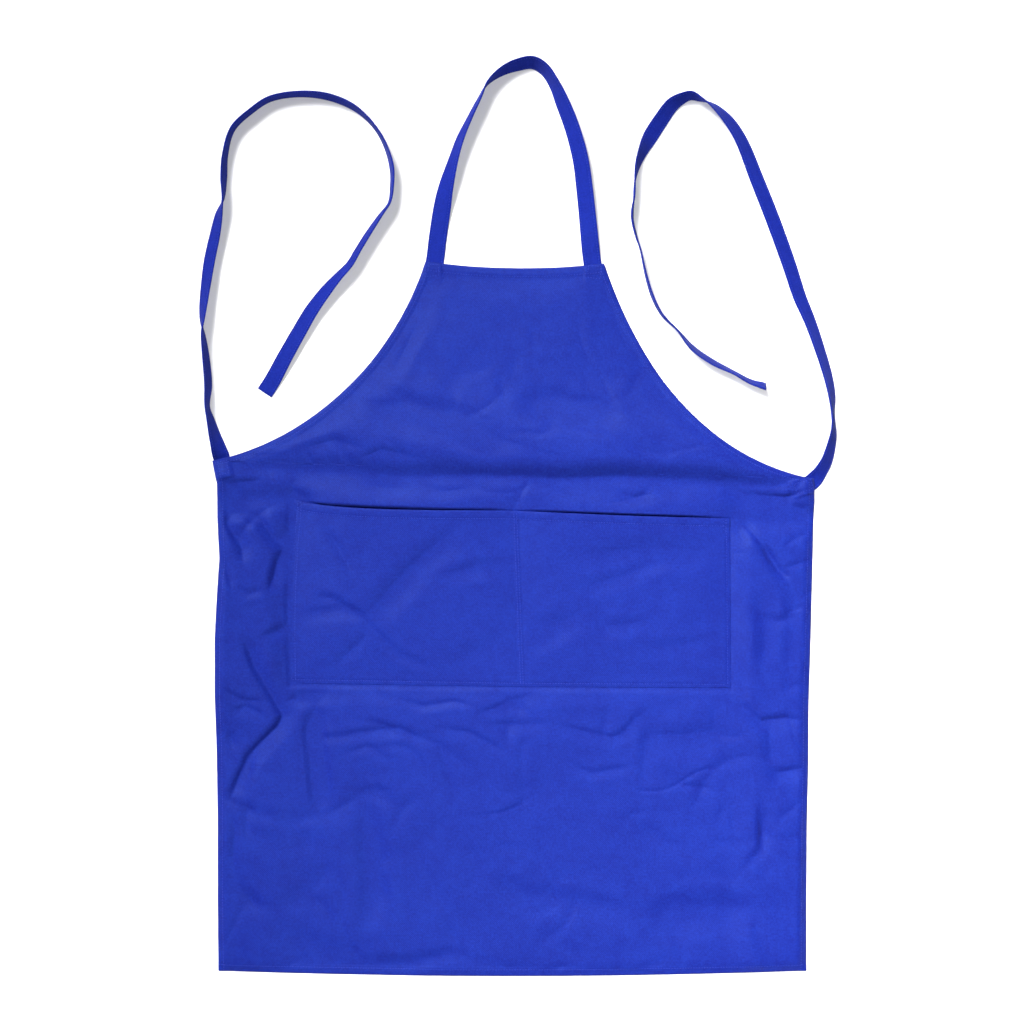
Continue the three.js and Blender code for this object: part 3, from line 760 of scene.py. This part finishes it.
# %% [markdown]
# ## Straps and ties
# A strap is a strip of the same twill, folded over and stitched flat, about 2 cm wide. It lies where
# it fell: flat in places, on its edge in others, with a twist between them. Each row of a route
# gives a place and a lean about the strap's own run. 0 lies flat, 90 stands with the left edge
# uppermost and 180 lies turned over. The lowest edge always touches the table.

# %% Routes of the straps: x, y, lean
NECK_ROUTE = [
    (-100, 846, 0), (-95, 871, 0), (-92, 896, 0), (-87, 930, -8), (-82, 957, -29), (-72, 993, -53),
    (-64, 1017, -60), (-53, 1041, -68), (-41, 1065, -74), (-31, 1084, -85), (-14, 1098, -101),
    (5, 1106, -113), (24, 1109, -116), (38, 1101, -116), (49, 1085, -118), (60, 1061, -132),
    (72, 1030, -139), (82, 993, -146), (87, 957, -153), (91, 920, -158), (94, 890, -168),
    (96, 874, -180), (98, 860, -180), (100, 845, -180),
]
LEFT_TIE_ROUTE = [
    (-349, 604, 0), (-352, 616, 0), (-355, 628, 0), (-358, 642, 36), (-363, 660, 59), (-367, 676, 74),
    (-371, 692, 86), (-370, 719, 76), (-373, 755, 79), (-376, 780, 91), (-377, 796, 114),
    (-376, 816, 129), (-373, 841, 137), (-369, 869, 143), (-362, 902, 140), (-357, 926, 126),
    (-352, 944, 98), (-351, 969, 81), (-349, 999, 85), (-340, 1029, 90), (-317, 1051, 91),
    (-295, 1065, 90), (-258, 1071, 87), (-222, 1067, 81), (-192, 1054, 82), (-171, 1035, 86),
    (-156, 1011, 81), (-147, 981, 74), (-147, 957, 75), (-150, 939, 76), (-160, 925, 70),
    (-173, 906, 64), (-188, 882, 61), (-198, 865, 58), (-212, 850, 51), (-227, 833, 38), (-245, 809, 27),
    (-261, 782, 20), (-278, 752, 14), (-295, 721, 2), (-303, 709, 0),
]
RIGHT_TIE_ROUTE = [
    (338, 591, 0), (350, 594, 0), (361, 598, 1), (367, 603, 4), (373, 611, 25), (381, 625, 37),
    (386, 642, 46), (389, 659, 58), (389, 672, 68), (388, 686, 68), (387, 706, 54), (382, 731, 46),
    (373, 761, 41), (361, 796, 35), (349, 825, 27), (336, 865, 22), (317, 918, 20),
    (296, 971, 22), (277, 1017, 32), (261, 1041, 40), (242, 1058, 62), (227, 1065, 88),
    (216, 1069, 106), (204, 1065, 122), (193, 1058, 142), (181, 1042, 152), (168, 1022, 154),
    (158, 1003, 128), (151, 984, 108), (148, 966, 94), (147, 945, 92), (145, 929, 98), (145, 918, 100),
    (149, 900, 101), (155, 881, 97), (161, 853, 93), (169, 826, 91), (181, 803, 94), (200, 784, 101),
    (218, 763, 114), (242, 746, 116), (268, 733, 109), (288, 722, 112), (307, 716, 117),
]


# %% [markdown]
# A smooth curve runs through the rows, and is then walked in even steps. At every step the strap
# has a direction, a breadth and a face, and those three place any point of the strip.


# %% Walk along a route
STRAP_STEP = 2.6
FINE_STEPS = 24  # points of the smooth curve between two rows


def walk(route):
    """Even steps along a smooth curve through the rows: place, run, breadth and face."""
    rows = np.array(route, float)
    padded = np.vstack([2 * rows[0] - rows[1], rows, 2 * rows[-1] - rows[-2]])
    knots = [0.0]
    for a, b in zip(padded[:-1], padded[1:]):
        knots.append(knots[-1] + np.linalg.norm((b - a)[:2]) ** 0.5)
    fine = []
    for k in range(1, len(padded) - 2):
        t0, t1, t2, t3 = knots[k - 1 : k + 3]
        p0, p1, p2, p3 = padded[k - 1 : k + 3]
        for t in np.linspace(t1, t2, FINE_STEPS, endpoint=False):
            a1 = (t1 - t) / (t1 - t0) * p0 + (t - t0) / (t1 - t0) * p1
            a2 = (t2 - t) / (t2 - t1) * p1 + (t - t1) / (t2 - t1) * p2
            a3 = (t3 - t) / (t3 - t2) * p2 + (t - t2) / (t3 - t2) * p3
            b1 = (t2 - t) / (t2 - t0) * a1 + (t - t0) / (t2 - t0) * a2
            b2 = (t3 - t) / (t3 - t1) * a2 + (t - t1) / (t3 - t1) * a3
            fine.append((t2 - t) / (t2 - t1) * b1 + (t - t1) / (t2 - t1) * b2)
    fine = np.array(fine + [rows[-1]])
    gone = lengths_along(fine[:, :2])
    at = np.linspace(0.0, gone[-1], int(round(gone[-1] / STRAP_STEP)) + 1)
    place = read_at(at, gone, fine)
    run = unit(np.gradient(place[:, :2], axis=0))
    lean = np.radians(place[:, 2])
    zero = np.zeros(len(at))
    leftward = np.stack([-run[:, 1], run[:, 0], zero], 1)
    upward = np.stack([zero, zero, zero + 1.0], 1)
    c, s = np.cos(lean)[:, None], np.sin(lean)[:, None]
    return {"at": at, "place": place[:, :2], "lean": lean, "breadth": c * leftward + s * upward,
            "face": c * upward - s * leftward}


# %% Make one strap
STRAP_LINES = np.array([-1.0, -0.965, -0.9, -0.8, -0.72, -0.62, -0.4, -0.13, 0.13, 0.4, 0.62, 0.72,
                        0.8, 0.9, 0.965, 1.0])


def strap_points(line, width, across, lift):
    """Points at a share across the strap and a height off its middle, at every step."""
    half = width / 2
    height = half * np.abs(np.sin(line["lean"])) + 0.5 * STRAP_THICK * np.abs(np.cos(line["lean"]))
    centre = np.concatenate([line["place"], height[:, None]], 1)
    return centre + line["breadth"] * (half * across)[:, None] + line["face"] * lift[:, None]


def make_strap(node, route, width, seed, hemmed_end):
    """The cloth of one strap, with its width and the line that it follows."""
    line = walk(route)
    steps = len(line["at"])
    mesh, column, row, upper = closed_grid(node + "_cloth", len(STRAP_LINES) - 1, steps - 1)
    end = hemmed_end * 0.45 * smooth_step(9.5, 8.0, line["at"][-1] - line["at"])
    sides = {}
    for face in (1.0, -1.0):
        cut = []
        for share in STRAP_LINES:
            fold = 0.16 * bell(abs(share) - 0.9, 0.09) - 0.22 * bell(abs(share) - 0.72, 0.05)
            rounding = 0.62 * np.clip((abs(share) - 0.88) / 0.12, 0.0, 1.0) ** 2
            wave = 0.14 * soft_noise(line["at"], np.full(steps, share * 9.0 + 40.0 * face), 11.0, seed)
            wave *= 1.0 - abs(share) ** 4
            half_thick = 0.5 * STRAP_THICK + fold - rounding + wave + end
            cut.append(strap_points(line, width, np.full(steps, -share), face * half_thick))
        sides[face] = np.stack(cut, 1)
    points = np.where(upper[:, None], sides[1.0][row, column], sides[-1.0][row, column])
    points[:, 2] = np.maximum(points[:, 2], 0.05)
    flat = np.stack([STRAP_LINES[column] * width / 2, line["at"][row]], 1)
    cloth = finish_sheet(mesh, to_frame(*points.T), flat)
    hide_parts(node)
    print(node, "is", round(line["at"][-1]), "mm long,", len(mesh.polygons), "faces")
    return {"node": node, "cloth": cloth, "width": width, "line": line}


# %% Make the three straps
NECK_WIDTH, TIE_WIDTH = 22.0, 20.0
straps = [
    make_strap("neck_strap", NECK_ROUTE, NECK_WIDTH, 31, False),
    make_strap("waist_tie_left", LEFT_TIE_ROUTE, TIE_WIDTH, 32, True),
    make_strap("waist_tie_right", RIGHT_TIE_ROUTE, TIE_WIDTH, 33, True),
]

# %% [markdown]
# ## Stitches
# A row of lockstitch is a chain of short thread lengths, each sinking into the cloth at both ends.
# One stitch is a stretched icosphere of twenty faces, which is enough at this size. A seam is a
# line drawn on the flat cloth; a ray dropped on the finished sheet finds how high each stitch lies.


# %% Lay a row of stitches on a sheet
STITCH_PITCH, STITCH_LONG, STITCH_THICK = 3.3, 2.5, 0.85
STITCH_FACES = 20
RAY_FROM = 60.0  # well above the highest fold


def even_points(line, pitch):
    line = np.array(line, float)
    gone = lengths_along(line)
    return read_at(np.arange(pitch / 2, gone[-1], pitch), gone, line)


def one_stitch(bm, place, run, face):
    """Adds one stitch to a bmesh: long along its run and pressed into the face."""
    side = face.cross(run).normalized()
    turn = Matrix((run, side, face)).transposed().to_4x4()
    size = Matrix.Diagonal((STITCH_LONG / 2 * MM, STITCH_THICK / 2 * MM, STITCH_THICK / 2 * MM, 1.0))
    matrix = Matrix.Translation(place) @ turn @ size
    bmesh.ops.create_icosphere(bm, subdivisions=1, radius=1.0, matrix=matrix)


def sew_on(bm, sheet, line):
    """Stitches along a line of the cutting frame, on top of a sheet."""
    spots = even_points(line, STITCH_PITCH)
    down = Vector((0.0, 0.0, -1.0))
    for here, ahead in zip(spots[:-1], spots[1:]):
        start = to_frame(*here, RAY_FROM)
        hit, place, face, _ = sheet.ray_cast(Vector(start), down)
        if not hit:
            continue
        run = Vector((ahead[0] - here[0], ahead[1] - here[1], 0.0))
        run = (run - face * run.dot(face)).normalized()
        one_stitch(bm, place + face * 0.08 * MM, run, face)
    return len(spots)


# %% Seams of the body
def hem_seam(points, hem, side):
    """The line of a hem's stitches: side is 1 where the cloth is left of the edge, else -1."""
    run = unit(np.gradient(points, axis=0))
    return points + side * (hem - STITCH_INSET) * np.stack([-run[:, 1], run[:, 0]], 1)


skirt_count = len(skirt_up)
body_net = np.stack([x_net, y_net], -1)
body_seams = [
    hem_seam(body_net[:skirt_count, 0], SIDE_HEM, -1),
    hem_seam(body_net[:skirt_count, -1], SIDE_HEM, 1),
    hem_seam(body_net[skirt_count:, 0], ARM_HEM, -1),
    hem_seam(body_net[skirt_count:, -1], ARM_HEM, 1),
    hem_seam(body_net[0], BOTTOM_HEM, 1),
    hem_seam(body_net[-1], BIB_HEM, -1),
]
bm = bmesh.new()
count = sum(sew_on(bm, body, seam) for seam in body_seams)


def tack_box(cx, cy, half_x, half_y, turn):
    """A small closed square of stitches, as over a sewn strap end."""
    c, s = cos_sin(turn)
    ring = [(half_x * u, half_y * w) for u, w in ((-1, -1), (1, -1), (1, 1), (-1, 1), (-1, -1))]
    return [(cx + c * u - s * w, cy + s * u + c * w) for u, w in ring]


for cx, cy, half_x, half_y, turn, _ in SEWN_ENDS:
    count += sew_on(bm, body, tack_box(cx, cy, half_x - 2.6, half_y - 4.2, turn))
body_thread = put_in_scene(as_mesh("apron_body_stitches", bm))
print("stitches on the body:", count)

# %% Seams of the pocket
MOUTH_SEAM = 10.4  # from the edge of a mouth to the stitches of its hem
SECOND_ROW = 4.6  # between the two rows at the left side
TWIN_ROWS = 1.7  # from the centre seam to each of its two rows
ZIGZAG = np.array([(2.2 * (-1) ** k, -2.4 * k) for k in range(8)])  # a bar-tack at a mouth's end

pocket_net = np.stack([px, py], -1)
edge_k = list(SEAM_LINES).index(SEAM_IN)
mouth_k = list(MOUTH_LINES).index(MOUTH_SEAM) - len(MOUTH_LINES)
sides = [pocket_net[edge_k:, k] for k in (edge_k, px.shape[1] // 2, -1 - edge_k)]
pocket_seams = [
    sides[0],
    sides[0] + (SECOND_ROW, 0.0),
    sides[0][-2] + (2.2, -1.0) + ZIGZAG,
    sides[2][-2] + (-1.5, -1.0) + ZIGZAG,
    sides[2],
    pocket_net[edge_k, edge_k:-edge_k],
    sides[1] + (-TWIN_ROWS, 0.0),
    sides[1] + (TWIN_ROWS, 0.0),
    pocket_net[mouth_k, edge_k:-edge_k],
]
bm = bmesh.new()
count = sum(sew_on(bm, pocket, seam) for seam in pocket_seams)
pocket_thread = put_in_scene(as_mesh("pocket_stitches", bm))
print("stitches on the pocket:", count)


# %% Seams of the straps
STRAP_SEAM = 0.74  # share of the half width
SUNK = 0.06


def sew_strap(strap):
    """Two rows of stitches on each face of a strap; none where that face lies on the table."""
    line = strap["line"]
    every = np.ones(len(line["at"]))
    pick = np.arange(STITCH_PITCH / 2, line["at"][-1], STITCH_PITCH)
    bm = bmesh.new()
    for share in (-STRAP_SEAM, STRAP_SEAM):
        for face in (1.0, -1.0):
            off_middle = face * (0.5 * STRAP_THICK - SUNK)
            spots = to_frame(*strap_points(line, strap["width"], share * every, off_middle * every).T)
            rows = read_at(pick, line["at"], spots)
            faces = read_at(pick, line["at"], face * line["face"])
            for here, ahead, normal in zip(rows[:-1], rows[1:], faces[:-1]):
                if here[2] < STITCH_THICK / 2 * MM:
                    continue
                normal = Vector(normal).normalized()
                run = Vector(ahead - here)
                run = (run - normal * run.dot(normal)).normalized()
                one_stitch(bm, Vector(here), run, normal)
    return put_in_scene(as_mesh(strap["node"] + "_stitches", bm))


for strap in straps:
    strap["thread"] = sew_strap(strap)
    print(strap["node"], "has", len(strap["thread"].data.polygons) // STITCH_FACES, "stitches")

# %% [markdown]
# ## The cloth's finish
# Twill is woven in slanting ribs. Close up they are rows of small floats; from a step away they only
# give the cloth its matt grain. The group below draws the ribs on the weave's UV map, adds the
# uneven dye of cotton at five scales, from hand-wide clouds down to single threads, and hands out a
# colour factor and a height for the bump.


# %% Twill as a node group
def set_sockets(node, sockets):
    for socket, value in sockets.items():
        node.inputs[socket].default_value = value


def add_node(tree, kind, sockets=None, **values):
    """A new node with its properties set and some of its input sockets filled in."""
    node = tree.nodes.new(kind)
    for name, value in values.items():
        setattr(node, name, value)
    set_sockets(node, sockets or {})
    return node


RIB_SIZE, SLUB_SIZE, RIB_SHARE = 0.32, 0.55, 0.6
# scale and weight of each layer of the dye
DYE_LAYERS = [(9.0, 0.6), (60.0, 0.7), (170.0, 0.8), (420.0, 2.0), (1100.0, 1.3)]


def twill_group():
    tree = bpy.data.node_groups.new("twill_weave", "ShaderNodeTree")
    face = tree.interface
    for name, default in (("Ribs per metre", 850.0), ("Dye Unevenness", 0.12)):
        face.new_socket(name=name, in_out="INPUT", socket_type="NodeSocketFloat").default_value = default
    face.new_socket(name="Vector", in_out="INPUT", socket_type="NodeSocketVector")
    for name in ("Tone", "Height"):
        face.new_socket(name=name, in_out="OUTPUT", socket_type="NodeSocketFloat")
    took = add_node(tree, "NodeGroupInput")
    gave = add_node(tree, "NodeGroupOutput")
    link = tree.links.new

    scaled = add_node(tree, "ShaderNodeVectorMath", operation="SCALE")
    link(took.outputs["Vector"], scaled.inputs[0])
    link(took.outputs["Ribs per metre"], scaled.inputs["Scale"])
    ribs = add_node(tree, "ShaderNodeTexWave", {"Scale": RIB_SIZE, "Distortion": 0.9, "Detail": 1.0},
                    wave_type="BANDS", bands_direction="DIAGONAL")
    slubs = add_node(tree, "ShaderNodeTexNoise", {"Scale": SLUB_SIZE, "Detail": 2.0})
    for texture in (ribs, slubs):
        link(scaled.outputs["Vector"], texture.inputs["Vector"])
    weave = add_node(tree, "ShaderNodeMath", {1: RIB_SHARE}, operation="MULTIPLY_ADD")
    link(ribs.outputs["Fac"], weave.inputs[0])
    link(slubs.outputs["Fac"], weave.inputs[2])
    link(weave.outputs["Value"], gave.inputs["Height"])

    total = None
    for scale, weight in DYE_LAYERS:
        blot = add_node(tree, "ShaderNodeTexNoise", {"Scale": scale, "Detail": 3.0})
        centred = add_node(tree, "ShaderNodeMath", {1: 0.5}, operation="SUBTRACT")
        added = add_node(tree, "ShaderNodeMath", {1: weight, 2: 0.0}, operation="MULTIPLY_ADD")
        link(took.outputs["Vector"], blot.inputs["Vector"])
        link(blot.outputs["Fac"], centred.inputs[0])
        link(centred.outputs["Value"], added.inputs[0])
        if total:
            link(total.outputs["Value"], added.inputs[2])
        total = added
    tone = add_node(tree, "ShaderNodeMath", {2: 0.5}, operation="MULTIPLY_ADD")
    link(total.outputs["Value"], tone.inputs[0])
    link(took.outputs["Dye Unevenness"], tone.inputs[1])
    link(tone.outputs["Value"], gave.inputs["Tone"])
    return tree


TWILL = twill_group()
print("twill group has", len(TWILL.nodes), "nodes")


# %% [markdown]
# The cloth itself is a matt blue with a soft sheen, because loose fibre ends stand up from cotton
# and catch light that comes along the surface. Seen along the cloth, the same fibres hide the weave,
# so a Layer Weight node makes it rougher there. The tone from the group slides the colour between a
# deeper and a lighter blue. Thread is the same blue, a little lighter and smoother.


# %% A material between two blues
def blue_material(name, deep, light):
    """A new material, its node tree and shader, and the node that mixes its two blues."""
    material = bpy.data.materials.new(name)
    material.use_nodes = True
    tree = material.node_tree
    shader = tree.nodes["Principled BSDF"]
    mix = add_node(tree, "ShaderNodeMix", data_type="RGBA")
    set_sockets(mix, {6: (*deep, 1.0), 7: (*light, 1.0)})
    tree.links.new(mix.outputs[2], shader.inputs["Base Color"])
    return material, tree, shader, mix


# %% Cloth
FUZZ_ACROSS, FUZZ_ALONG = 0.57, 0.8
RIB_HEIGHT = 0.0004
# deep blue, light blue, unevenness of the dye, strength of the weave's bump, gloss
FRONT_LOOK = ((0.0001, 0.0026, 0.142), (0.0024, 0.0131, 0.208), 1.1, 0.7, 0.20)
STRAP_LOOK = ((0.0026, 0.0074, 0.142), (0.0052, 0.0146, 0.217), 0.8, 0.6, 0.06)


def cloth_material(name, deep, light, dye, bump, gloss):
    material, tree, shader, mix = blue_material(name, deep, light)
    place = add_node(tree, "ShaderNodeUVMap", uv_map="weave")
    weave = add_node(tree, "ShaderNodeGroup", node_tree=TWILL)
    set_sockets(weave, {"Dye Unevenness": dye})
    relief = add_node(tree, "ShaderNodeBump", {"Strength": bump, "Distance": RIB_HEIGHT})
    tree.links.new(place.outputs["UV"], weave.inputs["Vector"])
    tree.links.new(weave.outputs["Tone"], mix.inputs[0])
    tree.links.new(weave.outputs["Height"], relief.inputs["Height"])
    tree.links.new(relief.outputs["Normal"], shader.inputs["Normal"])
    slant = add_node(tree, "ShaderNodeLayerWeight")
    fuzz = add_node(tree, "ShaderNodeMath", {1: FUZZ_ALONG, 2: FUZZ_ACROSS},
                    operation="MULTIPLY_ADD", use_clamp=True)
    tree.links.new(slant.outputs["Facing"], fuzz.inputs[0])
    tree.links.new(fuzz.outputs["Value"], shader.inputs["Roughness"])
    set_sockets(shader, {"Sheen Weight": 0.04, "Sheen Roughness": 0.5, "Specular IOR Level": gloss,
                         "Specular Tint": (0.70, 1.0, 1.0, 1.0)})
    return material


body.data.materials.append(cloth_material("body_twill", *FRONT_LOOK))
pocket.data.materials.append(cloth_material("pocket_twill", *FRONT_LOOK))
strap_finish = cloth_material("strap_twill", *STRAP_LOOK)
for strap in straps:
    strap["cloth"].data.materials.append(strap_finish)


# %% Thread
def thread_material(name, deep, light):
    material, tree, shader, mix = blue_material(name, deep, light)
    place = add_node(tree, "ShaderNodeTexCoord")
    fleck = add_node(tree, "ShaderNodeTexNoise", {"Scale": 900.0})
    tree.links.new(place.outputs["Object"], fleck.inputs["Vector"])
    tree.links.new(fleck.outputs["Fac"], mix.inputs[0])
    set_sockets(shader, {"Roughness": 0.6, "Specular IOR Level": 0.2})
    return material


seam_finish = thread_material("seam_thread", (0.007, 0.017, 0.21), (0.016, 0.034, 0.30))
strap_thread_finish = thread_material("strap_thread", (0.008, 0.018, 0.20), (0.014, 0.030, 0.30))
for thread in (body_thread, pocket_thread):
    thread.data.materials.append(seam_finish)
for strap in straps:
    strap["thread"].data.materials.append(strap_thread_finish)
print("materials:", sorted(material.name for material in bpy.data.materials))

# %% [markdown]
# ## One body for all pieces
# All pieces belong to the same body, because nothing on an apron is hinged.

cloths = [body, pocket] + [strap["cloth"] for strap in straps]
threads = [body_thread, pocket_thread] + [strap["thread"] for strap in straps]
for piece in cloths + threads:
    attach(piece, "root")

print("sheets:", [cloth.name for cloth in cloths])

# %% [markdown]
# ## Table, light and camera
# The apron is seen from straight above, on a pale table. A large soft lamp stands beyond the neck
# strap and a little to the left, so slopes that face the neck are light and slopes that face the
# hem are dark. Its cone is narrow and is aimed past the right side, which leaves the left side a
# little darker, as in the photo. A small weak lamp fills in near the hem.

# %% Floor
TABLE_HALF = 4.0

bm = bmesh.new()
bmesh.ops.create_grid(bm, x_segments=4, y_segments=4, size=TABLE_HALF)
mesh = as_mesh("pale_table", bm)
table = bpy.data.objects.new("pale_table", mesh)
bpy.context.collection.objects.link(table)
paint = bpy.data.materials.new("pale_paint")
paint.use_nodes = True
pale = {"Base Color": (0.92, 0.92, 0.92, 1.0), "Roughness": 0.9}
set_sockets(paint.node_tree.nodes["Principled BSDF"], pale)
mesh.materials.append(paint)


# %% Lamps
def soft_lamp(name, place, aim, size, spread, power):
    """A round area lamp: its size in metres, its cone in degrees and its power in watts."""
    data = bpy.data.lights.new(name, "AREA")
    data.shape, data.size, data.energy = "DISK", size, power
    data.spread = math.radians(spread)
    lamp = bpy.data.objects.new(name, data)
    lamp.location = place
    lamp.rotation_mode = "QUATERNION"
    lamp.rotation_quaternion = (Vector(aim) - Vector(place)).to_track_quat("-Z", "Y")
    bpy.context.collection.objects.link(lamp)


soft_lamp("key_lamp", (-1.85, 3.05, 4.9), (1.78, -0.98, 0.0), 3.4, 45, 158.0)
soft_lamp("fill_lamp", (0.36, -0.88, 1.75), (0.28, -0.60, 0.0), 0.9, 180, 31.0)
world = bpy.data.worlds.new("pale_room")
bpy.context.scene.world = world
world.use_nodes = True
set_sockets(world.node_tree.nodes["Background"], {"Color": (0.95, 0.97, 1.0, 1.0), "Strength": 0.16})
bpy.context.scene.view_settings.view_transform = "Standard"

# %% Camera
PHOTO_SIDE = 1023
MM_PER_PIXEL = 1.2203
LENS_MM, SENSOR_MM = 50.0, 36.0
VIEW_X_MM, VIEW_Y_MM = -1.8, 564.4  # the point of the cutting frame in the middle of the picture

lens = bpy.data.cameras.new("camera")
lens.lens, lens.sensor_width = LENS_MM, SENSOR_MM
camera = bpy.data.objects.new("camera", lens)
height = PHOTO_SIDE * MM_PER_PIXEL * LENS_MM / SENSOR_MM
camera.location = Vector(to_frame(VIEW_X_MM, VIEW_Y_MM, height))
bpy.context.collection.objects.link(camera)
bpy.context.scene.camera = camera
print("camera", [round(c, 3) for c in camera.location])
